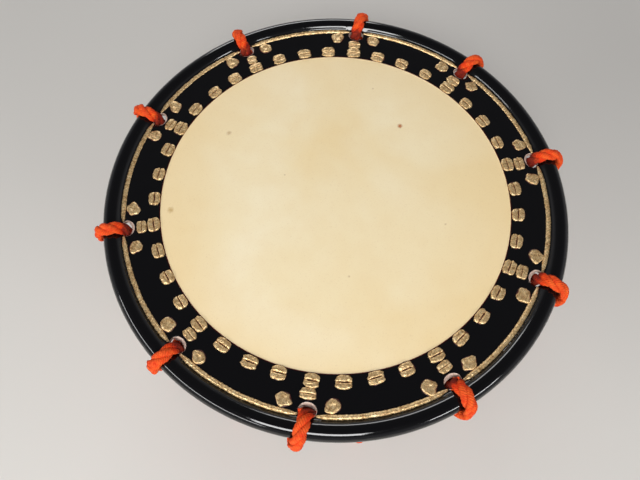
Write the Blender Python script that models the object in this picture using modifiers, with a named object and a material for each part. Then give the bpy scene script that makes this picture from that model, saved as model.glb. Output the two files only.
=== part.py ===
"""Shime daiko: a turned hollow body held between two stitched heads by one laced rope.

Each head is a hide folded round an iron ring and laid back under itself, so the playing
face is one layer and the flange outside the body is two. Ten oval holes go through the
flange. The rope zigzags between the heads: up through a hole of the upper head, over its
rim, down the outside, round the lower rim, in through a hole there and up to the next
hole. The same rope then goes three times round the waist of the lacing, draws it in
against the body, and its end is tucked down behind its own turns.

Metres, +Z up. The origin is on the floor under the middle of the drum, which stands on
the ten turns of rope that pass under its lower rim.
"""

import math

import bmesh
import bpy
from mathutils import Matrix, Vector

# Body, turned from one block of zelkova
BODY_HEIGHT = 0.150
MOUTH_R = 0.1324
BELLY_R = 0.1410
BORE_R = 0.1145
BORE_MOUTH_R = 0.1185
BEARING_LAND = 0.0040
BEARING_ROUND = 0.0020
BEVEL_DEPTH = 0.0110
BARREL_STEPS = 6

# Heads
HIDE_T = 0.0016
RING_R = 0.1681
RING_ROD_R = 0.0050
RING_DROP = 0.0004
FLANGE_RISE = 0.0020
FOLD_GAP = 0.0003
FLANGE_CLEARANCE = 0.0028
LACQUER_R = 0.1329
HEAD_SEGMENTS = 50
RING_SIDES = 8
ROLL_STEPS = 10

# Rope holes in the flanges
HOLES = 10
FIRST_HOLE = 193.36
LOWER_TURN = -22.0
HOLE_R = 0.1569
HOLE_LENGTH = 0.0124
HOLE_WIDTH = 0.0100
HOLE_SIDES = 12

# Gilded seam in the valley beside the rim, between the holes
SEAM_R = 0.1598
SEAM_WIDTH = 0.0033
SEAM_HEIGHT = 0.0012
SEAM_TRIM = 2.6
SEAM_STEPS = 5

# Rope
ROPE_R = 0.0047
SQUEEZED_R = 0.0038
BODY_CLEARANCE = 0.0013
FOOT_SHARE = 0.1
CREST_SHIFTS = (0.6, 0.9, 0.4, -0.7, -0.6, -0.5, -0.7, 0.2, -0.7, 0.3)
RIM_STEP = 36.0
LAST_RIM_ANGLE = -32.0
HOLE_SHIFT = 0.3
EDGE_SHIFT = 1.1
START_HOLE = 3

# Winding round the waist
TURNS = 3
TURN_GAP = 0.0006
POINTS_PER_TURN = 24
WINDING_LEAD = 11.0
WINDING_RUN_ON = 11.3
DRAW_CURVE = 1.35

# Touching pieces keep this much air between their surfaces
GAP = 0.0003
MERGE = 0.00001

# Heights and radii that follow from the sizes above
ROLL_R = RING_ROD_R + GAP + HIDE_T
FACE_HEIGHT = BODY_HEIGHT / 2 + GAP + HIDE_T
RING_HEIGHT = FACE_HEIGHT - RING_DROP
FLAT_R = MOUTH_R - BEARING_ROUND
FOOT_DEPTH = FOOT_SHARE * 2 * SQUEEZED_R
MIDDLE = RING_HEIGHT + ROLL_R + GAP + 2 * SQUEEZED_R - FOOT_DEPTH
HOLE_PITCH = 360.0 / HOLES
WAIST_R = BELLY_R + BODY_CLEARANCE + ROPE_R
TURN_PITCH = 2 * ROPE_R + TURN_GAP
TURN_CHORD = math.cos(math.pi / POINTS_PER_TURN)
WINDING_R = (WAIST_R + 2 * ROPE_R + GAP) / TURN_CHORD
BAND_TOP = TURNS * TURN_PITCH / 2
BAND_EDGE = BAND_TOP + ROPE_R + TURN_GAP


def clear_scene():
    """Remove every object, so that the file holds the drum alone."""
    for leftover in list(bpy.data.objects):
        bpy.data.objects.remove(leftover, do_unlink=True)


def new_collection(name):
    collection = bpy.data.collections.new(name)
    bpy.context.scene.collection.children.link(collection)
    return collection


def new_material(name, colour, roughness, metallic=0.0):
    material = bpy.data.materials.new(name)
    material.use_nodes = True
    shader = material.node_tree.nodes["Principled BSDF"]
    shader.inputs["Base Color"].default_value = (*colour, 1.0)
    shader.inputs["Roughness"].default_value = roughness
    shader.inputs["Metallic"].default_value = metallic
    return material


def add_object(name, data, collection, parent=None, materials=()):
    """Link a mesh or curve as a named object, on its parent empty if it has one."""
    part = bpy.data.objects.new(name, data)
    collection.objects.link(part)
    part.parent = parent
    for material in materials:
        data.materials.append(material)
    return part


def add_empty(name, height, turn, flipped, collection):
    """Place the frame of one head: its playing face at z = 0, outward along +Z."""
    empty = bpy.data.objects.new(name, None)
    empty.location.z = height
    empty.rotation_euler = (math.pi if flipped else 0.0, 0.0, math.radians(turn))
    collection.objects.link(empty)
    return empty


def polar(radius, azimuth, height=0.0):
    """Point at an azimuth in degrees, counted from +X towards +Y."""
    angle = math.radians(azimuth)
    return Vector((radius * math.cos(angle), radius * math.sin(angle), height))


def arc(centre, radius, first, last, steps):
    """Points of an arc in the radius and height plane, its angles in degrees."""
    points = []
    for i in range(steps + 1):
        angle = math.radians(first + (last - first) * i / steps)
        points.append((centre[0] + radius * math.cos(angle), centre[1] + radius * math.sin(angle)))
    return points


def turned_mesh(name, profile, segments, turn, closed=True):
    """Revolve a profile of (radius, height) points round Z, its first point at an azimuth."""
    outline = bpy.data.meshes.new(name)
    vertices = [polar(radius, turn, height) for radius, height in profile]
    edges = [(i, i + 1) for i in range(len(vertices) - 1)]
    if closed:
        edges.append((len(vertices) - 1, 0))
    outline.from_pydata(vertices, edges, [])
    spun = bpy.data.objects.new(name + "_profile", outline)
    bpy.context.scene.collection.objects.link(spun)
    screw = spun.modifiers.new("turn", "SCREW")
    screw.axis = "Z"
    screw.angle = 2 * math.pi
    screw.steps = segments
    screw.render_steps = segments
    screw.use_merge_vertices = True
    screw.merge_threshold = MERGE
    screw.use_normal_calculate = False
    mesh = mesh_of(spun, name)
    bpy.data.objects.remove(spun, do_unlink=True)
    bpy.data.meshes.remove(outline)
    return mesh


def mesh_of(source, name):
    """Take the evaluated mesh of an object and weld its loose seams and caps."""
    graph = bpy.context.evaluated_depsgraph_get()
    mesh = bpy.data.meshes.new_from_object(source.evaluated_get(graph))
    mesh.name = name
    shape = bmesh.new()
    shape.from_mesh(mesh)
    bmesh.ops.remove_doubles(shape, verts=shape.verts, dist=MERGE)
    bmesh.ops.recalc_face_normals(shape, faces=shape.faces)
    shape.to_mesh(mesh)
    shape.free()
    mesh.materials.clear()
    return mesh


def shade_round(part, angle=40.0):
    part.data.shade_smooth()
    part.data.set_sharp_from_angle(angle=math.radians(angle))


def barrel_radius(height):
    """Outer radius of the body at a height above its middle."""
    share = 2 * height / BODY_HEIGHT
    return MOUTH_R + (BELLY_R - MOUTH_R) * (1 - share * share)


def body_profile():
    """Section of the body: down the barrel outside, and back up the bevelled bore."""
    half = BODY_HEIGHT / 2
    top_r = MOUTH_R - BEARING_ROUND
    land_r = top_r - BEARING_LAND
    outside = arc((top_r, half - BEARING_ROUND), BEARING_ROUND, 90, 0, 2)
    for i in range(1, BARREL_STEPS):
        height = half - BODY_HEIGHT * i / BARREL_STEPS
        outside.append((barrel_radius(height), height))
    outside += arc((top_r, BEARING_ROUND - half), BEARING_ROUND, 0, -90, 2)
    bore = [
        (land_r, -half),
        (BORE_MOUTH_R, BEVEL_DEPTH - half),
        (BORE_R, 0.0),
        (BORE_MOUTH_R, half - BEVEL_DEPTH),
        (land_r, half),
    ]
    return outside + bore


def make_body(collection, wood):
    mesh = turned_mesh("drum_body", body_profile(), HEAD_SEGMENTS, segment_start(0.0))
    body = add_object("drum_body", mesh, collection, None, [wood])
    body.location.z = MIDDLE
    shade_round(body)
    return body


def segment_start(hole_azimuth):
    """Azimuth of a segment's edge, with each rope hole at the middle of a segment."""
    return hole_azimuth + 180.0 / HEAD_SEGMENTS


def flange_top(radius):
    """Height of the flange's outer face above the playing face."""
    valley_r = RING_R - math.sqrt(ROLL_R ** 2 - (FLANGE_RISE + RING_DROP) ** 2)
    return FLANGE_RISE * max(0.0, radius - FLAT_R) / (valley_r - FLAT_R)


def roll_angle(height, radius):
    """Angle, towards the drum's axis, at which a circle round the ring has this height."""
    return 180.0 - math.degrees(math.asin((height + RING_DROP) / radius))


def hide_profile():
    """Section of the folded hide, from the middle of its playing face and back there."""
    centre = (RING_R, -RING_DROP)
    inner_r = (RING_ROD_R + GAP) / math.cos(math.pi / ROLL_STEPS)
    under_r = MOUTH_R + FLANGE_CLEARANCE
    second_top = HIDE_T + FOLD_GAP
    second_low = second_top + HIDE_T
    outer_first = roll_angle(FLANGE_RISE, ROLL_R)
    outer_last = roll_angle(FLANGE_RISE - second_low, ROLL_R) - 360.0
    inner_first = roll_angle(FLANGE_RISE - second_top, inner_r) - 360.0
    inner_last = roll_angle(FLANGE_RISE - HIDE_T, inner_r)
    profile = [(0.0, 0.0), (FLAT_R, 0.0)]
    profile += arc(centre, ROLL_R, outer_first, outer_last, ROLL_STEPS)
    profile.append((under_r, flange_top(under_r) - second_low))
    profile.append((under_r, flange_top(under_r) - second_top))
    profile += arc(centre, inner_r, inner_first, inner_last, ROLL_STEPS)
    profile += [(FLAT_R, -HIDE_T), (0.0, -HIDE_T)]
    return profile


def paint_hide(mesh):
    """Leave the playing face raw and give the flange and the roll their black lacquer."""
    for face in mesh.polygons:
        reach = max(math.hypot(*mesh.vertices[i].co.xy) for i in face.vertices)
        face.material_index = 1 if reach > LACQUER_R else 0


def hole_cutters(name, collection, parent):
    """Ten oval prongs in one cutter, each longer round the head than across the flange."""
    shape = bmesh.new()
    for k in range(HOLES):
        place = Matrix.Rotation(math.radians(k * HOLE_PITCH), 4, "Z")
        place = place @ Matrix.Translation((HOLE_R, 0.0, 0.0))
        place = place @ Matrix.Diagonal((HOLE_WIDTH, HOLE_LENGTH, 1.0, 1.0))
        bmesh.ops.create_cone(
            shape,
            cap_ends=True,
            segments=HOLE_SIDES,
            radius1=0.5,
            radius2=0.5,
            depth=4 * ROLL_R,
            matrix=place,
        )
    mesh = bpy.data.meshes.new(name)
    shape.to_mesh(mesh)
    shape.free()
    cutter = add_object(name, mesh, collection, parent)
    cutter.display_type = "WIRE"
    cutter.hide_render = True
    return cutter


def cut(part, cutter):
    step = part.modifiers.new("cut_" + cutter.name, "BOOLEAN")
    step.operation = "DIFFERENCE"
    step.solver = "EXACT"
    step.object = cutter


def seam_mesh(name):
    """One gilded seam: a low rounded strip that runs from one hole to the next."""
    half = SEAM_WIDTH / 2
    base = flange_top(SEAM_R) + GAP
    slope = (flange_top(SEAM_R + half) - flange_top(SEAM_R - half)) / SEAM_WIDTH
    section = [
        (-half, 0.0),
        (half, 0.0),
        (0.8 * half, 0.6 * SEAM_HEIGHT),
        (0.0, SEAM_HEIGHT),
        (-0.8 * half, 0.6 * SEAM_HEIGHT),
    ]
    shape = bmesh.new()
    corners = []
    for across, up in section:
        corners.append(shape.verts.new(polar(SEAM_R + across, SEAM_TRIM, base + slope * across + up)))
    face = shape.faces.new(corners)
    bmesh.ops.spin(
        shape,
        geom=[face, *face.edges, *face.verts],
        cent=(0.0, 0.0, 0.0),
        axis=(0.0, 0.0, 1.0),
        angle=math.radians(HOLE_PITCH - 2 * SEAM_TRIM),
        steps=SEAM_STEPS,
        use_merge=False,
        use_duplicate=False,
    )
    bmesh.ops.remove_doubles(shape, verts=shape.verts, dist=MERGE)
    bmesh.ops.recalc_face_normals(shape, faces=shape.faces)
    mesh = bpy.data.meshes.new(name)
    shape.to_mesh(mesh)
    shape.free()
    return mesh


def make_ring(name, collection, parent, iron):
    """Iron ring inside the fold, its rod's segments in line with the hide's."""
    bpy.ops.mesh.primitive_torus_add(
        major_radius=RING_R,
        minor_radius=RING_ROD_R,
        major_segments=HEAD_SEGMENTS,
        minor_segments=RING_SIDES,
    )
    ring = bpy.context.object
    ring.name = name
    ring.data.name = name
    ring.data.transform(Matrix.Rotation(math.radians(segment_start(0.0)), 4, "Z"))
    for owner in list(ring.users_collection):
        owner.objects.unlink(ring)
    collection.objects.link(ring)
    ring.parent = parent
    ring.location = (0.0, 0.0, -RING_DROP)
    ring.data.materials.append(iron)
    shade_round(ring, 60.0)
    return ring


def make_head(side, height, turn, flipped, collection, cutters, finishes):
    """One head: hide, iron ring and ten gilded seams, all on one empty."""
    frame = add_empty(side + "_head", height, turn, flipped, collection)
    mesh = turned_mesh(side + "_hide", hide_profile(), HEAD_SEGMENTS, segment_start(0.0), closed=False)
    hide = add_object(side + "_hide", mesh, collection, frame, [finishes["hide"], finishes["lacquer"]])
    paint_hide(mesh)
    shade_round(hide)
    cut(hide, hole_cutters(side + "_rope_holes", cutters, frame))
    make_ring(side + "_iron_ring", collection, frame, finishes["iron"])
    strip = seam_mesh(side + "_gilt_seam")
    strip.materials.append(finishes["gilding"])
    for k in range(HOLES):
        seam = add_object(f"{side}_gilt_seam_{k + 1:02d}", strip, collection, frame)
        seam.rotation_euler.z = math.radians(k * HOLE_PITCH)


def rim_radius(angle):
    """Rope's own radius on the rim: pressed thin over the crest, full on the outside."""
    share = min(1.0, max(0.0, (72.0 - angle) / 72.0))
    return SQUEEZED_R + (ROPE_R - SQUEEZED_R) * share


def over_rim(side, hole, crest, edge):
    """Rope's points over one rim, from its hole outwards; side is +1 above and -1 below."""
    angles = [180.0 - RIM_STEP * i for i in range(6)] + [LAST_RIM_ANGLE]
    points = []
    for angle in angles:
        own = rim_radius(angle)
        reach = (ROLL_R + GAP + own) / math.cos(math.radians(RIM_STEP / 2))
        radius = RING_R + reach * math.cos(math.radians(angle))
        height = side * (RING_HEIGHT + reach * math.sin(math.radians(angle)))
        if angle > 90.0:
            azimuth = crest + (hole - crest) * (angle - 90.0) / 90.0
        else:
            azimuth = crest + (edge - crest) * (90.0 - angle) / 90.0
        points.append((polar(radius, azimuth, height), own))
    return points


def strand(start, end, heights):
    """Points of a strand between two rims, drawn in to the waist under the winding."""
    points = []
    for height in heights:
        share = (height - start.z) / (end.z - start.z)
        flat = start.lerp(end, share)
        nearer = start if height * start.z > 0 else end
        spread = (max(0.0, abs(height) - BAND_EDGE) / (abs(nearer.z) - BAND_EDGE)) ** DRAW_CURVE
        radius = WAIST_R + (nearer.xy.length - WAIST_R) * spread
        angle = math.degrees(math.atan2(flat.y, flat.x))
        points.append((polar(radius, angle, height), ROPE_R))
    return points


def lacing_route():
    """Every point of the laced rope with its radius there, heights from the middle."""
    flare = 0.029
    below_hole = 0.012
    stub_end = -0.014
    outside = (flare, BAND_EDGE, 0.0, -BAND_EDGE, -flare)
    inside = (-flare, -BAND_EDGE, 0.0, BAND_EDGE, flare)
    route = []
    first = FIRST_HOLE - START_HOLE * HOLE_PITCH
    drop = RING_HEIGHT - below_hole
    origin = polar(HOLE_R, first + HOLE_PITCH + LOWER_TURN - HOLE_SHIFT, -drop)
    route += strand(origin, polar(HOLE_R, first + HOLE_SHIFT, drop), (stub_end,) + inside[2:])
    for i in range(HOLES):
        k = (START_HOLE + i) % HOLES
        upper = FIRST_HOLE - (START_HOLE + i) * HOLE_PITCH
        lower = upper + LOWER_TURN
        shift = CREST_SHIFTS[k]
        route.append((polar(HOLE_R, upper + HOLE_SHIFT, drop), SQUEEZED_R))
        down = over_rim(1, upper + HOLE_SHIFT, upper + shift, upper + shift - EDGE_SHIFT)
        up = over_rim(-1, lower - HOLE_SHIFT, lower + shift / 2, lower + shift / 2 + EDGE_SHIFT)
        up.reverse()
        route += down + strand(down[-1][0], up[0][0], outside) + up
        route.append((polar(HOLE_R, lower - HOLE_SHIFT, -drop), SQUEEZED_R))
        following = upper - HOLE_PITCH + HOLE_SHIFT
        climb = strand(route[-1][0], polar(HOLE_R, following, drop), inside)
        route += climb[:1] if i == HOLES - 1 else climb
    return route


def winding_route(start, heading):
    """Points of the winding, from the end of the lacing to the tail tucked behind it."""
    first = math.degrees(math.atan2(start.y, start.x))
    lead = [start, start + heading * 2 * ROPE_R]
    for radius, back, height in ((0.1555, 3.4, -0.0255), (0.1577, 6.6, -0.0190)):
        lead.append(polar(radius, first - back, height))
    count = TURNS * POINTS_PER_TURN + 1
    step = (360.0 * TURNS + WINDING_RUN_ON) / count
    turns = []
    for i in range(count + 1):
        height = TURN_PITCH * i * step / 360.0 - BAND_TOP
        turns.append(polar(WINDING_R, first - WINDING_LEAD - i * step, height))
    last = first - WINDING_LEAD - count * step
    tail = []
    for radius, back, height in (
        (0.1578, 3.0, 0.0182),
        (0.1556, 5.6, 0.0225),
        (0.1516, 7.4, 0.0232),
        (0.1484, 8.4, 0.0190),
        (0.1470, 8.9, 0.0110),
        (0.1470, 9.2, -0.0060),
        (0.1472, 9.2, -0.0200),
        (0.1482, 9.0, -0.0320),
    ):
        tail.append(polar(radius, last - back, height))
    return lead + turns + tail


def least_gap(points, radius, skip):
    """Least air between stretches of one tube that lie more than skip points apart."""
    least = 1.0
    for i in range(len(points) - 1):
        for j in range(i + skip, len(points) - 1):
            if (points[i] - points[j]).length > 0.08:
                continue
            for a in range(5):
                here = points[i].lerp(points[i + 1], a / 4)
                for b in range(5):
                    there = points[j].lerp(points[j + 1], b / 4)
                    least = min(least, (here - there).length - 2 * radius)
    return least


def tube(name, route, bevel_resolution, collection):
    """Curve through the route's points, its radius following the rope's own."""
    data = bpy.data.curves.new(name, "CURVE")
    data.dimensions = "3D"
    data.bevel_depth = ROPE_R
    data.bevel_resolution = bevel_resolution
    data.use_fill_caps = True
    spline = data.splines.new("POLY")
    spline.points.add(len(route) - 1)
    for point, (place, own) in zip(spline.points, route):
        point.co = (*place, 1.0)
        point.radius = own / ROPE_R
    part = add_object(name, data, collection)
    part.location.z = MIDDLE
    return part


def make_rope(collection, cutters, dye):
    """The laced stretch, flat under the lower rim, and the winding that follows it."""
    route = lacing_route()
    guide = tube("lacing_guide", route, 2, collection)
    bpy.context.view_layer.update()
    mesh = mesh_of(guide, "lacing_rope")
    lacing = add_object("lacing_rope", mesh, collection, None, [dye])
    lacing.matrix_world = guide.matrix_world
    guide_data = guide.data
    bpy.data.objects.remove(guide, do_unlink=True)
    bpy.data.curves.remove(guide_data)
    shade_round(lacing, 60.0)

    depth = 0.02
    shape = bmesh.new()
    bmesh.ops.create_cube(shape, size=1.0, matrix=Matrix.Diagonal((3 * RING_R, 3 * RING_R, depth, 1.0)))
    floor_mesh = bpy.data.meshes.new("floor_cutter")
    shape.to_mesh(floor_mesh)
    shape.free()
    floor = add_object("floor_cutter", floor_mesh, cutters)
    floor.location.z = -depth / 2
    floor.display_type = "WIRE"
    floor.hide_render = True
    cut(lacing, floor)

    heading = (route[-1][0] - route[-2][0]).normalized()
    points = winding_route(route[-1][0] + heading * GAP, heading)
    waist = tube("waist_rope", [(point, ROPE_R) for point in points], 1, collection)
    waist.data.materials.append(dye)
    laced = sum((route[i + 1][0] - route[i][0]).length for i in range(len(route) - 1))
    wound = sum((points[i + 1] - points[i]).length for i in range(len(points) - 1))
    print("rope: laced length", round(laced, 3), "m, wound length", round(wound, 3), "m")
    print("rope: least gap of the winding to itself", round(1000 * least_gap(points, ROPE_R, 8), 2), "mm")
    centres = [place for place, own in route]
    print("rope: least gap of the lacing to itself", round(1000 * least_gap(centres, ROPE_R, 8), 2), "mm")


def main():
    clear_scene()
    parts = new_collection("shime_daiko")
    cutters = new_collection("cutters")
    finishes = {
        "wood": new_material("zelkova", (0.42, 0.20, 0.075), 0.35),
        "hide": new_material("raw_hide", (0.83, 0.66, 0.42), 0.5),
        "lacquer": new_material("black_lacquer", (0.006, 0.006, 0.008), 0.12),
        "iron": new_material("forged_iron", (0.06, 0.055, 0.05), 0.6, 0.9),
        "gilding": new_material("gilding", (0.62, 0.40, 0.16), 0.35, 0.7),
        "dye": new_material("vermilion_rope", (0.80, 0.085, 0.012), 0.85),
    }
    make_body(parts, finishes["wood"])
    lower_start = 2 * FIRST_HOLE + LOWER_TURN - FIRST_HOLE
    make_head("upper", MIDDLE + FACE_HEIGHT, FIRST_HOLE, False, parts, cutters, finishes)
    make_head("lower", MIDDLE - FACE_HEIGHT, lower_start, True, parts, cutters, finishes)
    make_rope(parts, cutters, finishes["dye"])


main()
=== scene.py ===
import math
import random

import bmesh
import bpy
import numpy as np
from mathutils import Matrix, Vector, noise


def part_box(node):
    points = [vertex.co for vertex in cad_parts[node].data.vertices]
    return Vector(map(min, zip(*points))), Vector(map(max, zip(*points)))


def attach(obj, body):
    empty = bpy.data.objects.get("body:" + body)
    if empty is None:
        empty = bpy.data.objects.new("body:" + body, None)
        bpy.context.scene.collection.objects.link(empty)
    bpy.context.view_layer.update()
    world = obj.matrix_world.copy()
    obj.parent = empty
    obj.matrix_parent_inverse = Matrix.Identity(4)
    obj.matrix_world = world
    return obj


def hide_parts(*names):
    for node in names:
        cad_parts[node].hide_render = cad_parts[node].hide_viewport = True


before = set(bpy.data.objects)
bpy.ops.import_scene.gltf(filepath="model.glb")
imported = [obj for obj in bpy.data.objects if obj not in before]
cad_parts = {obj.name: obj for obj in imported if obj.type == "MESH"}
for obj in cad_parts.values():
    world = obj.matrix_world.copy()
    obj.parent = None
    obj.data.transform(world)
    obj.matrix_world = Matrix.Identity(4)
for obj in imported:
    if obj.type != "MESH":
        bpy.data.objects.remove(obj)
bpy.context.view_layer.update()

# Sizes of the drum in metres, and angles in degrees, as the construction has them
MOUTH_R = 0.1324
BELLY_R = 0.1410
BORE_R = 0.1145
BORE_MOUTH_R = 0.1185
BEARING_LAND = 0.0040
BEARING_ROUND = 0.0020
BEVEL_DEPTH = 0.0110
HIDE_T = 0.0016
RING_R = 0.1681
RING_DROP = 0.0004
FLANGE_RISE = 0.0020
FOLD_GAP = 0.0003
FLANGE_CLEARANCE = 0.0028
LACQUER_R = 0.1329
HOLES = 10
HOLE_PITCH = 36.0
FIRST_HOLE = 193.36
LOWER_TURN = -22.0
HOLE_R = 0.1569
HOLE_LENGTH = 0.0124
HOLE_WIDTH = 0.0100
SEAM_R = 0.1598
SEAM_WIDTH = 0.0033
SEAM_HEIGHT = 0.0012
ROPE_R = 0.0047
BODY_CLEARANCE = 0.0013
CREST_SHIFTS = (0.6, 0.9, 0.4, -0.7, -0.6, -0.5, -0.7, 0.2, -0.7, 0.3)
EDGE_SHIFT = 1.1
HOLE_SHIFT = 0.3
START_HOLE = 3
TURNS = 3
TURN_GAP = 0.0006
POINTS_PER_TURN = 24
WINDING_LEAD = 11.0
WINDING_RUN_ON = 11.3
DRAW_CURVE = 1.35
GAP = 0.0003
MERGE = 0.000002

# Heights and radii that follow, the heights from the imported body
body_low, body_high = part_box("drum_body")
MIDDLE = (body_low.z + body_high.z) / 2
BODY_HEIGHT = body_high.z - body_low.z
FACE_HEIGHT = BODY_HEIGHT / 2 + GAP + HIDE_T
RING_HEIGHT = FACE_HEIGHT - RING_DROP
ROLL_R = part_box("upper_hide")[1].x - RING_R
FLAT_R = MOUTH_R - BEARING_ROUND
VALLEY_R = RING_R - math.sqrt(ROLL_R ** 2 - (FLANGE_RISE + RING_DROP) ** 2)
FOLD_DEPTH = 2 * HIDE_T + FOLD_GAP
WAIST_R = BELLY_R + BODY_CLEARANCE + ROPE_R
TURN_PITCH = 2 * ROPE_R + TURN_GAP
BAND_TOP = TURNS * TURN_PITCH / 2
BAND_EDGE = BAND_TOP + ROPE_R + TURN_GAP

# Fineness of the heads' grid and of the body
CELLS_PER_PITCH = 48
HOLE_CELLS = 6
HOLE_ROWS = 4
FLANGE_ROWS = 19
RADIAL_CELL = 0.00125
ROLL_ARC_STEPS = 28
BODY_STEPS = 180
BORE_POINTS = 9
BORE_REACH = 0.055

# Shape of the flange round its holes and between its stitches
CUT_SLANT = 0.75
SLANT_REACH = 0.0095
LIP_ROUND = 0.0005
LIP_LEAST_R = 0.14
LIP_LOWEST = 0.0008
LACQUER_STEP = 0.00012
PUCKER_INNER_R = 0.1335
PUCKER_OUTER_R = 0.1510
PUCKER_DEPTH = 0.00022

# Gilt stitches: where they sit, and half their lengths and widths from least to greatest
INNER_MARKS = 40
INNER_R = 0.1379
INNER_HALF_LENGTHS = (0.0050, 0.0058)
INNER_HALF_WIDTHS = (0.0042, 0.0048)
INNER_HEIGHT = 0.0014
INNER_SLIT = 0.00042
MIDDLE_MARK_R = 0.1466
MIDDLE_HALF_LENGTHS = (0.0048, 0.0056)
MIDDLE_HALF_WIDTHS = (0.0036, 0.0040)
MIDDLE_HEIGHT = 0.0013
MIDDLE_SLIT = 0.00018
NARROW_MARK = 8
NARROW_HALF_LENGTH = 0.0041
FLANK_R = 0.1530
FLANK_TURN = 5.9
FLANK_HALF_LENGTHS = (0.0048, 0.0055)
FLANK_HALF_WIDTHS = (0.0044, 0.0050)
FLANK_HEIGHT = 0.0012
FLANK_DIMPLE = 0.0007
FLANK_WAVER = 0.352
RED_MARGIN = 0.00035
RED_HEIGHT = 0.00022
BOSS_SIDES = 28
PATCH_SIDES = 24

# Seam in the valley
SEAM_END = 2.0
SEAM_ALONG = 120
SEAM_AROUND = 8
SEAM_END_ROUND = 0.0012
SEAM_THINNING = 0.006
SEAM_THIN_SHARE = 0.52
BEAD_PITCH = 0.0031

# Order of a hide's finishes, and place of the red ground after the gold of the stitches
RAW, LACQUERED, CUT = range(3)
RED_GROUND = 1

# Stains of the playing face: place, size, strength and colour
STAINS = (
    ((0.0503, 0.0646), 0.0026, 0.95, (0.420, 0.120, 0.020)),
    ((-0.0879, 0.0512), 0.0026, 0.55, (0.420, 0.240, 0.090)),
    ((-0.1238, -0.0192), 0.0030, 0.60, (0.450, 0.260, 0.060)),
    ((0.0120, -0.0650), 0.0011, 0.50, (0.400, 0.220, 0.080)),
    ((-0.0400, 0.0150), 0.0009, 0.45, (0.400, 0.220, 0.080)),
    ((0.0830, -0.0210), 0.0010, 0.45, (0.400, 0.220, 0.080)),
    ((0.0280, 0.1010), 0.0010, 0.45, (0.400, 0.220, 0.080)),
)


def polar(radius, azimuth, height=0.0):
    """Point at an azimuth in degrees, counted from +X towards +Y."""
    angle = math.radians(azimuth)
    return Vector((radius * math.cos(angle), radius * math.sin(angle), height))


def ease(share):
    """Smooth step from 0 to 1."""
    share = min(1.0, max(0.0, share))
    return share * share * (3 - 2 * share)


# Node helpers

def put(tree, kind, settings=None, sockets=None):
    """Add a shader node, set its properties, and set or link its sockets."""
    made = tree.nodes.new(kind)
    for name, value in (settings or {}).items():
        setattr(made, name, value)
    for name, value in (sockets or {}).items():
        if isinstance(value, bpy.types.NodeSocket):
            tree.links.new(value, made.inputs[name])
        else:
            made.inputs[name].default_value = value
    return made


def new_finish(name, roughness, metallic=0.0, colour=(0.5, 0.5, 0.5)):
    """A new material, its node tree and its shader."""
    finish = bpy.data.materials.new(name)
    finish.use_nodes = True
    tree = finish.node_tree
    shader = tree.nodes["Principled BSDF"]
    shader.inputs["Base Color"].default_value = (*colour, 1.0)
    shader.inputs["Roughness"].default_value = roughness
    shader.inputs["Metallic"].default_value = metallic
    return finish, tree, shader


def place_of(tree, scale=(1.0, 1.0, 1.0), turn=(0.0, 0.0, 0.0)):
    """Object coordinates, stretched and turned."""
    coords = put(tree, "ShaderNodeTexCoord")
    mapping = put(tree, "ShaderNodeMapping", sockets={"Vector": coords.outputs["Object"], "Scale": scale})
    mapping.inputs["Rotation"].default_value = turn
    return mapping.outputs["Vector"]


def clouds(tree, place, scale, detail=4.0, roughness=0.55, distortion=0.0):
    """Noise between 0 and 1."""
    made = put(tree, "ShaderNodeTexNoise", sockets={"Vector": place, "Scale": scale, "Detail": detail})
    made.inputs["Roughness"].default_value = roughness
    made.inputs["Distortion"].default_value = distortion
    return made.outputs["Fac"]


def ramp(tree, factor, stops):
    """Colour ramp through (position, colour) stops."""
    made = put(tree, "ShaderNodeValToRGB", sockets={"Fac": factor})
    row = made.color_ramp.elements
    while len(row) < len(stops):
        row.new(0.5)
    for element, (position, colour) in zip(row, stops):
        element.position = position
        element.color = (*colour, 1.0)
    return made.outputs["Color"]


def span(tree, value, low, high, to_low=0.0, to_high=1.0):
    """Stretch a value from one range to another, held at its ends."""
    made = put(tree, "ShaderNodeMapRange", sockets={"Value": value, "From Min": low, "From Max": high})
    made.inputs["To Min"].default_value = to_low
    made.inputs["To Max"].default_value = to_high
    return made.outputs["Result"]


def blend_colours(tree, factor, first, second):
    """Mix of two colours; sockets 0, 6 and 7 of the node are its factor and its two colours."""
    made = put(tree, "ShaderNodeMix", {"data_type": "RGBA"})
    for socket, value in ((0, factor), (6, first), (7, second)):
        if isinstance(value, bpy.types.NodeSocket):
            tree.links.new(value, made.inputs[socket])
        else:
            made.inputs[socket].default_value = (*value, 1.0)
    return made.outputs[2]


def maths(tree, kind, first, second):
    """Result of one maths node on two values."""
    return put(tree, "ShaderNodeMath", {"operation": kind}, {0: first, 1: second}).outputs[0]


def relief(tree, height, strength, depth, under=None):
    """Bump from a height, on top of another bump where one is given."""
    made = put(tree, "ShaderNodeBump", sockets={"Height": height, "Strength": strength, "Distance": depth})
    if under is not None:
        tree.links.new(under, made.inputs["Normal"])
    return made.outputs["Normal"]


def axis_distance(tree, place):
    """Distance of a point from the drum's axis."""
    parts = put(tree, "ShaderNodeSeparateXYZ", sockets={0: place})
    flat = put(tree, "ShaderNodeCombineXYZ", sockets={0: parts.outputs[0], 1: parts.outputs[1]})
    return put(tree, "ShaderNodeVectorMath", {"operation": "LENGTH"}, {0: flat.outputs[0]}).outputs["Value"]


# Finishes of the drum

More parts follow.
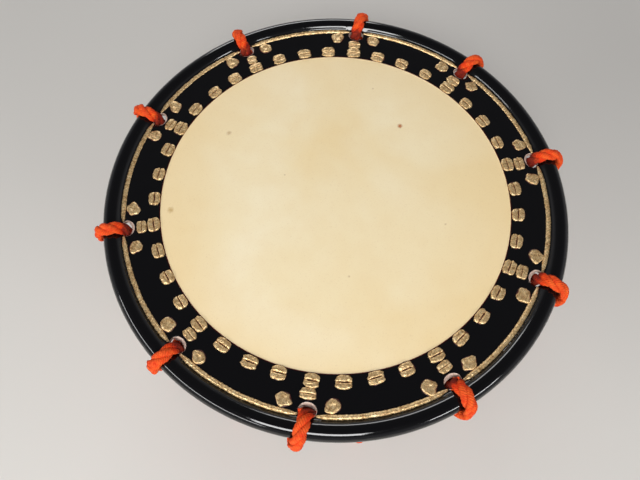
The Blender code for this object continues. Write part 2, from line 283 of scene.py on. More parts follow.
def raw_hide():
    """Cowhide playing face: cream, warmer clouds, fine pores, scratches and a few stains."""
    finish, tree, shader = new_finish("playing_hide", 0.5)
    place = place_of(tree)
    base = ramp(tree, clouds(tree, place, 11.0, 3.0, 0.5, 0.4), (
        (0.30, (0.850, 0.670, 0.370)),
        (0.52, (0.880, 0.740, 0.470)),
        (0.70, (0.910, 0.800, 0.560)),
    ))
    mottle = span(tree, clouds(tree, place, 55.0, 6.0, 0.65), 0.40, 0.75, 0.0, 0.22)
    base = blend_colours(tree, mottle, base, (0.800, 0.600, 0.320))
    edge = span(tree, axis_distance(tree, place), 0.085, LACQUER_R, 0.0, 0.40)
    base = blend_colours(tree, edge, base, (0.820, 0.600, 0.290))
    pores = span(tree, clouds(tree, place, 900.0, 3.0, 0.7), 0.30, 0.42, 0.20, 0.0)
    base = blend_colours(tree, pores, base, (0.560, 0.360, 0.170))
    for centre, size, depth, colour in STAINS:
        away = put(tree, "ShaderNodeVectorMath", {"operation": "DISTANCE"}, {0: place})
        away.inputs[1].default_value = (*centre, MIDDLE + FACE_HEIGHT)
        ragged = maths(tree, "MULTIPLY_ADD", clouds(tree, place, 700.0, 3.0), size)
        ragged.node.inputs[2].default_value = -size / 2
        reach = maths(tree, "ADD", away.outputs["Value"], ragged)
        mask = span(tree, reach, size, size * 0.25, 0.0, depth)
        base = blend_colours(tree, mask, base, colour)
    tree.links.new(base, shader.inputs["Base Color"])
    rough = span(tree, clouds(tree, place, 90.0), 0.3, 0.7, 0.42, 0.58)
    tree.links.new(rough, shader.inputs["Roughness"])
    scratch = clouds(tree, place_of(tree, (18.0, 900.0, 1.0), (0.0, 0.0, 0.7)), 1.0, 2.0, 0.5, 0.8)
    lines = relief(tree, span(tree, scratch, 0.28, 0.34), 0.12, 0.00004)
    grain = relief(tree, clouds(tree, place, 1400.0, 4.0, 0.7), 0.35, 0.00008, lines)
    tree.links.new(grain, shader.inputs["Normal"])
    return finish


def black_lacquer():
    """Polished black lacquer over the hide, with a thin dark red line where it begins."""
    finish, tree, shader = new_finish("black_lacquer", 0.12)
    place = place_of(tree)
    line = span(tree, axis_distance(tree, place), LACQUER_R + 0.0005, LACQUER_R + 0.0002)
    base = blend_colours(tree, line, (0.0022, 0.0021, 0.0024), (0.110, 0.012, 0.008))
    tree.links.new(base, shader.inputs["Base Color"])
    rough = span(tree, clouds(tree, place, 120.0, 5.0, 0.6), 0.3, 0.75, 0.05, 0.12)
    tree.links.new(rough, shader.inputs["Roughness"])
    skin = relief(tree, clouds(tree, place, 210.0, 3.0), 0.10, 0.0002)
    dust = relief(tree, clouds(tree, place, 1600.0, 2.0), 0.05, 0.00005, skin)
    tree.links.new(dust, shader.inputs["Normal"])
    return finish


def cut_hide():
    """Pale fibrous edge of the hide where it is cut."""
    finish, tree, shader = new_finish("cut_edge_of_hide", 0.85)
    fibre = clouds(tree, place_of(tree, (900.0, 900.0, 2600.0)), 1.0, 4.0, 0.6)
    base = ramp(tree, fibre, (
        (0.30, (0.420, 0.240, 0.170)),
        (0.55, (0.740, 0.580, 0.480)),
        (0.75, (0.880, 0.770, 0.690)),
    ))
    tree.links.new(base, shader.inputs["Base Color"])
    tree.links.new(relief(tree, fibre, 0.5, 0.0002), shader.inputs["Normal"])
    return finish


def gold_leaf():
    """Worn gold leaf over thick thread: tan in the hollows, bright on the crests."""
    finish, tree, shader = new_finish("gold_leaf", 0.3, 0.55)
    place = place_of(tree)
    patch = clouds(tree, place, 420.0, 5.0, 0.65)
    base = ramp(tree, patch, (
        (0.30, (0.360, 0.190, 0.070)),
        (0.44, (0.640, 0.420, 0.190)),
        (0.60, (0.800, 0.580, 0.300)),
        (0.78, (0.950, 0.790, 0.500)),
    ))
    worn = span(tree, clouds(tree, place, 1500.0, 3.0, 0.7), 0.30, 0.38, 0.55, 0.0)
    base = blend_colours(tree, worn, base, (0.160, 0.050, 0.020))
    tree.links.new(base, shader.inputs["Base Color"])
    rough = span(tree, clouds(tree, place, 700.0, 3.0), 0.3, 0.7, 0.12, 0.40)
    tree.links.new(rough, shader.inputs["Roughness"])
    lumps = relief(tree, clouds(tree, place, 650.0, 4.0, 0.6), 0.7, 0.0005)
    crinkle = relief(tree, clouds(tree, place, 2300.0, 3.0, 0.6), 0.5, 0.0002, lumps)
    tree.links.new(crinkle, shader.inputs["Normal"])
    return finish


def red_size():
    """Dark red ground under the gold leaf."""
    finish, tree, shader = new_finish("red_ground", 0.5)
    base = ramp(tree, clouds(tree, place_of(tree), 900.0), (
        (0.35, (0.030, 0.006, 0.005)),
        (0.70, (0.120, 0.020, 0.010)),
    ))
    tree.links.new(base, shader.inputs["Base Color"])
    return finish


def vermilion_rope():
    """Dyed hemp yarn, twisted against the lay, with painted shade in the furrows of its yarn and painted
    shade in and near the rope holes, where a vertex attribute says.
    """
    finish, tree, shader = new_finish("vermilion_rope", 0.8)
    place = place_of(tree)
    uv = put(tree, "ShaderNodeUVMap", {"uv_map": "yarn"})
    yarn = put(tree, "ShaderNodeTexWave", {"bands_direction": "DIAGONAL"}, {"Vector": uv.outputs["UV"]})
    yarn.inputs["Scale"].default_value = 2.6
    yarn.inputs["Distortion"].default_value = 1.6
    yarn.inputs["Detail"].default_value = 3.0
    yarn.inputs["Detail Scale"].default_value = 1.4
    base = ramp(tree, clouds(tree, place, 230.0, 5.0, 0.6), (
        (0.32, (0.720, 0.028, 0.003)),
        (0.50, (0.880, 0.060, 0.006)),
        (0.68, (0.950, 0.130, 0.015)),
    ))
    # Painted shade: darker red in the furrows of the twisted yarn, where the waves that drive its bump are
    # low.
    furrow_shade = span(tree, yarn.outputs["Fac"], 0.0, 0.45, 0.35, 0.0)
    base = blend_colours(tree, furrow_shade, base, (0.400, 0.014, 0.005))
    # Painted shade: dark maroon on the rope in and near its holes, from a vertex attribute broken up by
    # noise patches; away from the holes, lighter orange in random patches.
    hole_shade = put(tree, "ShaderNodeAttribute", {"attribute_name": "hole_shade"})
    patches = span(tree, clouds(tree, place, 400.0), 0.3, 0.7, -0.22, 0.22)
    ragged = maths(tree, "ADD", hole_shade.outputs["Fac"], patches)
    base = blend_colours(tree, span(tree, ragged, 0.45, 0.95, 0.0, 0.85), base, (0.110, 0.008, 0.007))
    faded = span(tree, ragged, 0.20, -0.10, 0.0, 0.30)
    base = blend_colours(tree, faded, base, (0.930, 0.190, 0.040))
    tree.links.new(base, shader.inputs["Base Color"])
    shader.inputs["Specular IOR Level"].default_value = 0.2
    shader.inputs["Sheen Weight"].default_value = 0.06
    shader.inputs["Sheen Roughness"].default_value = 0.5
    shader.inputs["Sheen Tint"].default_value = (1.0, 0.35, 0.15, 1.0)
    threads = relief(tree, yarn.outputs["Fac"], 0.8, 0.0004)
    fluff = relief(tree, clouds(tree, place, 2600.0, 4.0, 0.7), 0.6, 0.0002, threads)
    tree.links.new(fluff, shader.inputs["Normal"])
    return finish


def zelkova():
    """Turned zelkova with its grain along the drum, stained dark and thinly lacquered."""
    finish, tree, shader = new_finish("zelkova", 0.35)
    rings = clouds(tree, place_of(tree, (46.0, 46.0, 3.2)), 1.0, 5.0, 0.6, 1.3)
    base = ramp(tree, rings, (
        (0.28, (0.120, 0.042, 0.014)),
        (0.45, (0.250, 0.100, 0.034)),
        (0.58, (0.340, 0.150, 0.055)),
        (0.74, (0.200, 0.078, 0.026)),
    ))
    pores = clouds(tree, place_of(tree, (1500.0, 1500.0, 60.0)), 1.0, 3.0, 0.7)
    base = blend_colours(tree, span(tree, pores, 0.30, 0.42, 0.6, 0.0), base, (0.060, 0.020, 0.008))
    tree.links.new(base, shader.inputs["Base Color"])
    tree.links.new(span(tree, rings, 0.3, 0.7, 0.28, 0.42), shader.inputs["Roughness"])
    shader.inputs["Coat Weight"].default_value = 0.3
    shader.inputs["Coat Roughness"].default_value = 0.15
    tree.links.new(relief(tree, pores, 0.25, 0.0001), shader.inputs["Normal"])
    return finish


def forged_iron():
    """Black forge scale with a little rust."""
    finish, tree, shader = new_finish("forged_iron", 0.6, 0.9)
    scale = clouds(tree, place_of(tree), 260.0, 6.0, 0.65)
    base = ramp(tree, scale, (
        (0.35, (0.030, 0.028, 0.027)),
        (0.60, (0.090, 0.080, 0.072)),
        (0.78, (0.170, 0.080, 0.040)),
    ))
    tree.links.new(base, shader.inputs["Base Color"])
    tree.links.new(relief(tree, scale, 0.6, 0.0004), shader.inputs["Normal"])
    return finish


# Meshes

def mesh_object(name, shape, finishes, smooth=55.0):
    """Turn a bmesh into a linked object with its finishes."""
    mesh = bpy.data.meshes.new(name)
    shape.to_mesh(mesh)
    shape.free()
    for finish in finishes:
        mesh.materials.append(finish)
    mesh.shade_smooth()
    mesh.set_sharp_from_angle(angle=math.radians(smooth))
    piece = bpy.data.objects.new(name, mesh)
    bpy.context.scene.collection.objects.link(piece)
    return piece


def dress(piece, slot, *nodes):
    """Hang a piece on the drum and let it stand for its solids; its slot is not used."""
    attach(piece, "root")
    if nodes:
        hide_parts(*nodes)


def turned(profile, steps):
    """Full turn of a (radius, height) outline round the drum's axis."""
    shape = bmesh.new()
    row = [shape.verts.new((radius, 0.0, height)) for radius, height in profile]
    for first, second in zip(row, row[1:]):
        shape.edges.new((first, second))
    bmesh.ops.spin(
        shape, geom=shape.verts[:] + shape.edges[:], cent=(0, 0, 0), axis=(0, 0, 1),
        angle=2 * math.pi, steps=steps, use_merge=True, use_duplicate=False,
    )
    bmesh.ops.remove_doubles(shape, verts=shape.verts, dist=MERGE)
    bmesh.ops.recalc_face_normals(shape, faces=shape.faces)
    return shape


def barrel_radius(height):
    """Radius of the body's outside at a height from its middle."""
    share = 2 * height / BODY_HEIGHT
    return MOUTH_R + (BELLY_R - MOUTH_R) * (1 - share * share)


def arc(centre, radius, first, last, steps):
    """Points of an outline along an arc between two angles in degrees."""
    points = []
    for i in range(steps + 1):
        angle = math.radians(first + (last - first) * i / steps)
        points.append((centre[0] + radius * math.cos(angle), centre[1] + radius * math.sin(angle)))
    return points


def make_body(wood):
    """Turned barrel with rounded bearing lands, bevelled mouths and a bore that opens to them."""
    half = BODY_HEIGHT / 2
    low = BEARING_ROUND - half
    steps = 30
    outside = arc((FLAT_R, -low), BEARING_ROUND, 90, 8, 6)
    for i in range(steps - 1, 0, -1):
        height = low - 2 * low * i / steps
        outside.append((barrel_radius(height), height))
    outside += arc((FLAT_R, low), BEARING_ROUND, -8, -90, 6)
    land_r = FLAT_R - BEARING_LAND
    bore = [(land_r, -half), (BORE_MOUTH_R, BEVEL_DEPTH - half)]
    for height in np.linspace(-BORE_REACH, BORE_REACH, BORE_POINTS):
        opening = (height / (half - BEVEL_DEPTH)) ** 2
        bore.append((BORE_R + (BORE_MOUTH_R - BORE_R) * opening, height))
    bore += [(BORE_MOUTH_R, half - BEVEL_DEPTH), (land_r, half)]
    outline = outside + bore
    shape = turned(outline + outline[:1], BODY_STEPS)
    bmesh.ops.translate(shape, vec=(0, 0, MIDDLE), verts=shape.verts)
    dress(mesh_object("drum_shell", shape, [wood], 35.0), "body_wood", "drum_body")


def top_height(radius):
    """Height of the head's outer surface above its playing face."""
    if radius <= FLAT_R:
        return 0.0
    if radius < VALLEY_R:
        return FLANGE_RISE * (radius - FLAT_R) / (VALLEY_R - FLAT_R)
    return math.sqrt(max(0.0, ROLL_R ** 2 - (radius - RING_R) ** 2)) - RING_DROP


def under_height(radius):
    """Height of the lower surface of the folded flange."""
    folded = FLANGE_RISE * (radius - FLAT_R) / (VALLEY_R - FLAT_R) - FOLD_DEPTH
    if abs(radius - RING_R) >= ROLL_R:
        return folded
    rolled = -RING_DROP - math.sqrt(ROLL_R ** 2 - (radius - RING_R) ** 2)
    return min(folded, rolled) if radius > VALLEY_R - 0.0005 else folded


def head_outline():
    """Outer surface of the folded hide, from the middle of its face to the end of the fold."""
    face = [(r, 0.0) for r in (0.0, 0.012, 0.030, 0.050, 0.070, 0.090, 0.108, 0.122, 0.1285, FLAT_R)]
    face += [(r, top_height(r)) for r in (0.1317, LACQUER_R - 0.00006)]
    flange_r = [HOLE_R + RADIAL_CELL * i for i in range(-FLANGE_ROWS, HOLE_ROWS)]
    top = [(LACQUER_R + 0.00003, top_height(LACQUER_R) + LACQUER_STEP)]
    top += [(r, top_height(r) + LACQUER_STEP * ease((0.150 - r) / 0.01)) for r in flange_r]
    edge_r = HOLE_R + HOLE_ROWS * RADIAL_CELL
    edge_angle = math.degrees(math.acos((edge_r - RING_R) / ROLL_R))
    roll = arc((RING_R, -RING_DROP), ROLL_R, edge_angle, -edge_angle, ROLL_ARC_STEPS)
    end_r = MOUTH_R + FLANGE_CLEARANCE
    under = [(r, under_height(r)) for r in reversed(flange_r) if r > end_r] + [(end_r, under_height(end_r))]
    return face + top + roll + under


def open_holes(shape):
    """Draw the grid into ten ovals and take out the cells inside them."""
    half_length = 0.5 * HOLE_CELLS * 2 * math.pi / (HOLES * CELLS_PER_PITCH)
    half_width = HOLE_ROWS * RADIAL_CELL
    inside = set()
    for vert in shape.verts:
        radius = vert.co.xy.length
        if not HOLE_R - 0.011 < radius < RING_R:
            continue
        azimuth = math.degrees(math.atan2(vert.co.y, vert.co.x))
        hole = HOLE_PITCH * round(azimuth / HOLE_PITCH)
        along = math.radians(azimuth - hole) / half_length
        across = (radius - HOLE_R) / half_width
        block = max(abs(along), abs(across))
        if block < 0.99:
            inside.add(vert)
        if block < 0.01 or block > 2.0:
            continue
        pull = block / math.hypot(along, across)
        weight = 1 - ease(block - 1.0) if block > 1.0 else 1.0
        target_along = along * pull * (HOLE_LENGTH / 2) / (half_length * HOLE_R)
        target_across = across * pull * (HOLE_WIDTH / 2) / half_width
        new_along = along + (target_along - along) * weight
        new_across = across + (target_across - across) * weight
        new_r = HOLE_R + new_across * half_width
        upper = vert.co.z > -RING_DROP
        height = top_height(new_r) if upper else under_height(new_r)
        vert.co = polar(new_r, hole + math.degrees(new_along * half_length), height)
    bmesh.ops.delete(shape, geom=list(inside), context="VERTS")


def slant_holes(shape):
    """Lean each hole's inner wall outwards, so that the cut edge of the hide shows from above."""
    for vert in shape.verts:
        radius = vert.co.xy.length
        if not HOLE_R - SLANT_REACH < radius < HOLE_R + 0.001 or vert.co.z < -0.003:
            continue
        azimuth = math.degrees(math.atan2(vert.co.y, vert.co.x))
        hole = HOLE_PITCH * round(azimuth / HOLE_PITCH)
        along = math.radians(azimuth - hole) * HOLE_R / (HOLE_LENGTH / 2)
        across = (HOLE_R - radius) / (HOLE_WIDTH / 2)
        reach = math.hypot(along, across)
        near = (1 - ease((reach - 1.0) / 0.7)) * ease(across / 0.8)
        depth = top_height(radius) - vert.co.z
        moved = radius + CUT_SLANT * min(depth, FOLD_DEPTH) * near
        vert.co = Vector((*(vert.co.xy * (moved / radius)), vert.co.z))


def pucker(shape):
    """Slight hollows that the stitches pull into the flange, and ridges between them."""
    for vert in shape.verts:
        radius = vert.co.xy.length
        if vert.co.z < 0.0 or not PUCKER_INNER_R < radius < PUCKER_OUTER_R:
            continue
        azimuth = math.degrees(math.atan2(vert.co.y, vert.co.x))
        wave = 0.5 + 0.5 * math.cos(math.radians(azimuth * INNER_MARKS))
        share = ease((radius - PUCKER_INNER_R) / 0.004) * ease((PUCKER_OUTER_R - radius) / 0.006)
        vert.co.z -= PUCKER_DEPTH * wave * share


def head_matrix(upper):
    """Place of a head, whose own frame has its playing face at height zero and a hole at +X."""
    if upper:
        turn = Matrix.Rotation(math.radians(FIRST_HOLE), 4, "Z")
        return Matrix.Translation((0, 0, MIDDLE + FACE_HEIGHT)) @ turn
    turn = Matrix.Rotation(math.radians(FIRST_HOLE + LOWER_TURN), 4, "Z")
    return Matrix.Translation((0, 0, MIDDLE - FACE_HEIGHT)) @ turn @ Matrix.Rotation(math.pi, 4, "X")


def make_skin(side, finishes):
    """One hide: sheet of its outer surface, thickened inwards, with rounded hole edges."""
    shape = turned(head_outline(), HOLES * CELLS_PER_PITCH)
    open_holes(shape)
    pucker(shape)
    crest = max(shape.faces, key=lambda face: face.calc_center_median().z)
    if crest.normal.z < 0:
        bmesh.ops.reverse_faces(shape, faces=shape.faces)
    for face in shape.faces:
        outside = face.calc_center_median().xy.length > LACQUER_R - 0.00004
        face.material_index = LACQUERED if outside else RAW
    sheet = mesh_object(side + "_sheet", shape, finishes)
    wall = sheet.modifiers.new("thickness", "SOLIDIFY")
    wall.thickness = HIDE_T
    wall.offset = -1.0
    wall.use_even_offset = False
    wall.material_offset_rim = CUT - LACQUERED
    graph = bpy.context.evaluated_depsgraph_get()
    thick = bpy.data.meshes.new_from_object(sheet.evaluated_get(graph))
    bpy.data.objects.remove(sheet, do_unlink=True)
    shape = bmesh.new()
    shape.from_mesh(thick)
    lips = []
    for edge in shape.edges:
        kinds = {face.material_index for face in edge.link_faces}
        corner = edge.verts[0].co
        if kinds == {LACQUERED, CUT} and corner.xy.length > LIP_LEAST_R and corner.z > LIP_LOWEST:
            lips.append(edge)
    bmesh.ops.bevel(
        shape, geom=lips, offset=LIP_ROUND, offset_type="OFFSET", affect="EDGES",
        segments=3, profile=0.5, material=-1, clamp_overlap=True,
    )
    slant_holes(shape)
    bmesh.ops.transform(shape, matrix=head_matrix(side == "upper"), verts=shape.verts)
    skin = mesh_object(side + "_stitched_hide", shape, finishes, 60.0)
    dress(skin, "hide", side + "_hide")


# Gilding

def stitch_frame(radius, azimuth, twist):
    """Frame on the flange: X round the head, Y outwards, Z away from the hide."""
    slope = math.atan2(FLANGE_RISE, VALLEY_R - FLAT_R)
    place = Matrix.Translation(polar(radius, azimuth, top_height(radius)))
    turn = Matrix.Rotation(math.radians(azimuth - 90.0 + twist), 4, "Z")
    return place @ turn @ Matrix.Rotation(slope, 4, "X")


def unit_boss(outline, steps):
    """Mesh of a round boss of unit radius, closed below."""
    shape = turned(outline, steps)
    mesh = bpy.data.meshes.new("boss")
    shape.to_mesh(mesh)
    shape.free()
    return mesh


def add_boss(shape, boss):
    """Add a copy of a boss to the shape and return its new vertices and faces."""
    verts, faces = len(shape.verts), len(shape.faces)
    shape.from_mesh(boss)
    shape.verts.ensure_lookup_table()
    shape.faces.ensure_lookup_table()
    return shape.verts[verts:], shape.faces[faces:]


BOSS_OUTLINE = (
    (0.0, -0.3),
    (0.9, -0.3),
    (1.0, 0.0),
    (0.985, 0.38),
    (0.93, 0.68),
    (0.80, 0.88),
    (0.55, 0.97),
    (0.28, 1.0),
    (0.0, 1.0),
)
PATCH_OUTLINE = ((0.0, -0.5), (0.95, -0.5), (1.0, 0.0), (0.93, 1.0), (0.0, 1.0))
BOSS = unit_boss(BOSS_OUTLINE, BOSS_SIDES)
PATCH = unit_boss(PATCH_OUTLINE, PATCH_SIDES)


def ragged(seed, angle, amount, fineness):
    """Wavering factor round an outline, the same for the same seed and angle."""
    spot = Vector((fineness * math.cos(angle), fineness * math.sin(angle), seed * 3.71))
    return 1.0 + amount * noise.noise(spot)


def red_patch(shape, frame_of, length, width, seed):
    """Thin ground that shows round a gilt knot."""
    fresh, faces = add_boss(shape, PATCH)
    for vert in fresh:
        angle = math.atan2(vert.co.y, vert.co.x)
        grow = ragged(seed, angle, 0.20, 1.3)
        spot = Vector((vert.co.x * length * grow, vert.co.y * width * grow, vert.co.z * RED_HEIGHT))
        vert.co = frame_of @ spot
    for face in faces:
        face.material_index = RED_GROUND


def gilt_lump(shape, frame_of, length, width, seed):
    """Rounded gilt knot with a wavering outline and a hollow in its middle."""
    red_patch(shape, frame_of, length + RED_MARGIN, width + RED_MARGIN, seed)
    fresh = add_boss(shape, BOSS)[0]
    for vert in fresh:
        angle = math.atan2(vert.co.y, vert.co.x)
        reach = math.hypot(vert.co.x, vert.co.y)
        grow = ragged(seed, angle, FLANK_WAVER, 1.2) * ragged(seed + 9, angle, 0.10, 4.0)
        x, y = vert.co.x * length * grow, vert.co.y * width * grow
        rise = vert.co.z * FLANK_HEIGHT
        if vert.co.z > 0.3:
            rise -= FLANK_DIMPLE * math.exp(-(reach / 0.38) ** 2)
            rise *= 1.0 + 0.30 * noise.noise(Vector((x * 420, y * 420, seed * 1.37)))
        vert.co = frame_of @ Vector((x, y, rise))


def gilt_bean(shape, frame_of, length, width, height, slit, seed):
    """Two rolls of gilt thread side by side, open between them in the middle of their length."""
    red_patch(shape, frame_of, length + 0.0001, width + 0.0001, seed)
    for side in (1, -1):
        fresh, faces = add_boss(shape, BOSS)
        for vert in fresh:
            cosine = max(-1.0, min(1.0, vert.co.x))
            half_chord = math.sqrt(max(0.0, 1 - cosine * cosine))
            share = 0.5 if half_chord < 0.02 else 0.5 + 0.5 * max(-1.0, min(1.0, vert.co.y / half_chord))
            share = share if side > 0 else 1 - share
            x = cosine * length
            opening = 1 - ease((abs(cosine) - 0.45) / 0.35)
            near = slit * opening * (0.7 + 0.9 * abs(noise.noise(Vector((x * 900, side * 5.0, seed * 2.3)))))
            outer = width * (1 - 0.42 * abs(cosine) ** 4)
            outer *= 1 + 0.10 * noise.noise(Vector((x * 420, side * 3.0, seed * 1.9)))
            y = near + share * (outer - near)
            x *= 1 + 0.22 * noise.noise(Vector((y * 620, side * 4.0 + cosine, seed * 1.3)))
            rise = vert.co.z * height
            if vert.co.z > 0.3:
                rise *= 1.0 + 0.34 * noise.noise(Vector((x * 330, y * 500, seed * 1.91)))
            vert.co = frame_of @ Vector((x, side * y, rise))
        bmesh.ops.recalc_face_normals(shape, faces=faces)


def make_stitches(side, finishes):
    """All gilt knots of one head: forty beans, ten middle beans and twenty flank knots."""
    draw = random.Random(11 if side == "upper" else 23)
    shape = bmesh.new()
    for k in range(INNER_MARKS):
        radius = INNER_R + draw.uniform(-0.0003, 0.0003)
        azimuth = k * 360.0 / INNER_MARKS + draw.uniform(-0.25, 0.25)
        spot = stitch_frame(radius, azimuth, draw.uniform(-5, 5))
        length = draw.uniform(*INNER_HALF_LENGTHS)
        width = draw.uniform(*INNER_HALF_WIDTHS)
        gilt_bean(shape, spot, length, width, INNER_HEIGHT, INNER_SLIT, k + draw.random())
    for k in range(HOLES):
        azimuth = k * HOLE_PITCH
        spot = stitch_frame(MIDDLE_MARK_R, azimuth + draw.uniform(-0.3, 0.3), draw.uniform(-8, 8))
        length = NARROW_HALF_LENGTH if k == NARROW_MARK else draw.uniform(*MIDDLE_HALF_LENGTHS)
        width = draw.uniform(*MIDDLE_HALF_WIDTHS)
        gilt_bean(shape, spot, length, width, MIDDLE_HEIGHT, MIDDLE_SLIT, 50 + k)
        for hand in (-1, 1):
            turn = azimuth + hand * FLANK_TURN + draw.uniform(-0.3, 0.3)
            spot = stitch_frame(FLANK_R + draw.uniform(-0.0004, 0.0004), turn, draw.uniform(-40, 40))
            length = draw.uniform(*FLANK_HALF_LENGTHS)
            width = draw.uniform(*FLANK_HALF_WIDTHS)
            gilt_lump(shape, spot, length, width, 80 + 3 * k + hand)
    bmesh.ops.transform(shape, matrix=head_matrix(side == "upper"), verts=shape.verts)
    dress(mesh_object(side + "_gilt_stitches", shape, finishes, 50.0), "gilding")


def seam_strip(shape, hole, seed):
    """Pebbled gold cord in the valley, thinning before each rope hole."""
    length = SEAM_R * math.radians(HOLE_PITCH - 2 * SEAM_END)
    fresh = bmesh.ops.create_grid(shape, x_segments=SEAM_ALONG, y_segments=SEAM_AROUND, size=0.5)["verts"]
    slope = FLANGE_RISE / (VALLEY_R - FLAT_R)
    for vert in fresh:
        share = vert.co.x + 0.5
        angle = 2 * math.pi * (vert.co.y + 0.5)
        run = share * length
        near_end = min(run, length - run)
        taper = SEAM_THIN_SHARE + (1 - SEAM_THIN_SHARE) * ease((near_end - 0.001) / SEAM_THINNING)
        taper *= math.sqrt(max(0.0, 1 - max(0.0, 1 - near_end / SEAM_END_ROUND) ** 2))
        shuffle = 1.5 * noise.noise(Vector((run * 300, seed, 0)))
        bead = abs(math.sin(math.pi * run / BEAD_PITCH + shuffle))
        wild = noise.noise(Vector((run * 800, 2.0 * math.cos(angle), seed + 7.7)))
        swell = 1 + ease(near_end / SEAM_THINNING) * (0.22 * (bead - 0.6) + 0.38 * wild)
        across = SEAM_WIDTH / 2 * taper * math.cos(angle) * (1 + 0.5 * (swell - 1))
        rise = SEAM_HEIGHT * taper * swell * math.sin(angle)
        if math.sin(angle) < 0:
            rise = 0.0003 * math.sin(angle) * taper
        radius = SEAM_R + across + 0.0002 * noise.noise(Vector((run * 120, seed, 3.3)))
        azimuth = hole + SEAM_END + math.degrees(run / SEAM_R)
        vert.co = polar(radius, azimuth, top_height(SEAM_R) + slope * across + rise)
    bmesh.ops.remove_doubles(shape, verts=fresh, dist=MERGE)


def make_seams(side, gold):
    """The ten stretches of one head's seam, from hole to hole."""
    shape = bmesh.new()
    for k in range(HOLES):
        seam_strip(shape, k * HOLE_PITCH, 4.1 * k + (0.0 if side == "upper" else 60.0))
    bmesh.ops.recalc_face_normals(shape, faces=shape.faces)
    bmesh.ops.transform(shape, matrix=head_matrix(side == "upper"), verts=shape.verts)
    nodes = [f"{side}_gilt_seam_{k + 1:02d}" for k in range(HOLES)]
    dress(mesh_object(side + "_gilt_seams", shape, [gold], 60.0), "gilding", *nodes)


# Rope

STRANDS = 3
LAY = 0.027
YARN_R = 0.00245
STRAND_OFFSET = 0.0024
FLAT_SHARE = 0.62
WIDE_SHARE = 1.04
POINT_SPACING = 0.0019
AROUND = 9
RIM_STEPS = 10
LAST_RIM_ANGLE = -42.0
RELEASE_TURN = 50.0
# Painted shade of the rope near its holes: the angle over the rim where it begins, and the turn over which
# it grows to full
HOLE_SHADE_FROM = 118.0
HOLE_SHADE_TURN = 40.0
YARN_PITCH = 0.004
STRAND_WAVER = 0.05
FLARE_HEIGHT = 0.029
STUB_HEIGHT = -0.014
BELOW_HOLE = 0.012
HOLE_PRESS = 0.3
# Strength of the painted shade on the rope inside a hole
HOLE_SHADE = 0.8

# Radius, degrees back and height of the winding's first points and of its tucked tail
WINDING_START = ((0.1545, 3.4, -0.0255), (0.1563, 6.6, -0.0190))
WINDING_TAIL = (
    (0.1566, 3.0, 0.0182),
    (0.1548, 5.6, 0.0225),
    (0.1512, 7.4, 0.0232),
    (0.1484, 8.4, 0.0190),
    (0.1470, 8.9, 0.0110),
    (0.1470, 9.2, -0.0060),
    (0.1472, 9.2, -0.0200),
    (0.1482, 9.0, -0.0320),
)


def row_of(place, lean, press=0.0, hole_shade=0.0):
    """One point of the rope: place, the way its section is pressed, and how much painted shade from the
    holes it takes there.
    """
    return np.array((*place, *lean, press, hole_shade))


def over_rim(side, hole, crest, edge):
    """Rope over one rim from its hole outwards; side is +1 above and -1 below."""
    rows = []
    for i in range(RIM_STEPS + 1):
        angle = 180.0 + (LAST_RIM_ANGLE - 180.0) * i / RIM_STEPS
        press = ease((angle - LAST_RIM_ANGLE) / RELEASE_TURN)
        own = ROPE_R * (1 - (1 - FLAT_SHARE) * press)
        reach = ROLL_R + GAP + own
        cosine, sine = math.cos(math.radians(angle)), math.sin(math.radians(angle))
        if angle > 90.0:
            azimuth = crest + (hole - crest) * (angle - 90.0) / 90.0
        else:
            azimuth = crest + (edge - crest) * (90.0 - angle) / (90.0 - LAST_RIM_ANGLE)
        place = polar(RING_R + reach * cosine, azimuth, side * (RING_HEIGHT + reach * sine))
        lean = polar(cosine, azimuth, side * sine)
        # Painted shade of the rope, full where it leaves its hole and fading out over the rim
        hole_shade = ease((angle - HOLE_SHADE_FROM) / HOLE_SHADE_TURN)
        rows.append(row_of(place, lean, press, hole_shade))
    return rows


def strand(start, end, heights):
    """Rope between two rims, drawn in to the waist under the winding."""
    rows = []
    for height in heights:
        share = (height - start[2]) / (end[2] - start[2])
        flat = Vector(start[:3]).lerp(Vector(end[:3]), share)
        nearer = Vector(start[:3]) if height * start[2] > 0 else Vector(end[:3])
        spread = (max(0.0, abs(height) - BAND_EDGE) / (abs(nearer.z) - BAND_EDGE)) ** DRAW_CURVE
        radius = WAIST_R + (nearer.xy.length - WAIST_R) * spread
        azimuth = math.degrees(math.atan2(flat.y, flat.x))
        rows.append(row_of(polar(radius, azimuth, height), polar(1.0, azimuth)))
    return rows


def lacing_route():
    """The laced rope from its stub behind the winding to its last strand; heights from the middle."""
    drop = RING_HEIGHT - BELOW_HOLE
    outside = (FLARE_HEIGHT, BAND_EDGE, 0.0, -BAND_EDGE, -FLARE_HEIGHT)
    inside = tuple(-height for height in outside)
    first = FIRST_HOLE - START_HOLE * HOLE_PITCH
    origin = polar(HOLE_R, first + HOLE_PITCH + LOWER_TURN - HOLE_SHIFT, -drop)
    rows = strand(origin, polar(HOLE_R, first + HOLE_SHIFT, drop), (STUB_HEIGHT, *inside[2:]))
    for i in range(HOLES):
        k = (START_HOLE + i) % HOLES
        upper = FIRST_HOLE - (START_HOLE + i) * HOLE_PITCH
        lower = upper + LOWER_TURN
        shift = CREST_SHIFTS[k]
        inner_side = polar(-1.0, upper)
        rows.append(row_of(polar(HOLE_R, upper + HOLE_SHIFT, drop), inner_side, HOLE_PRESS, HOLE_SHADE))
        down = over_rim(1, upper + HOLE_SHIFT, upper + shift, upper + shift - EDGE_SHIFT)
        up = over_rim(-1, lower - HOLE_SHIFT, lower + shift / 2, lower + shift / 2 + EDGE_SHIFT)
        up.reverse()
        rows += down + strand(down[-1], up[0], outside) + up
        inner_side = polar(-1.0, lower)
        rows.append(row_of(polar(HOLE_R, lower - HOLE_SHIFT, -drop), inner_side, HOLE_PRESS, HOLE_SHADE))
        climb = strand(rows[-1], polar(HOLE_R, upper - HOLE_PITCH + HOLE_SHIFT, drop), inside)
        rows += climb[:1] if i == HOLES - 1 else climb
    return rows


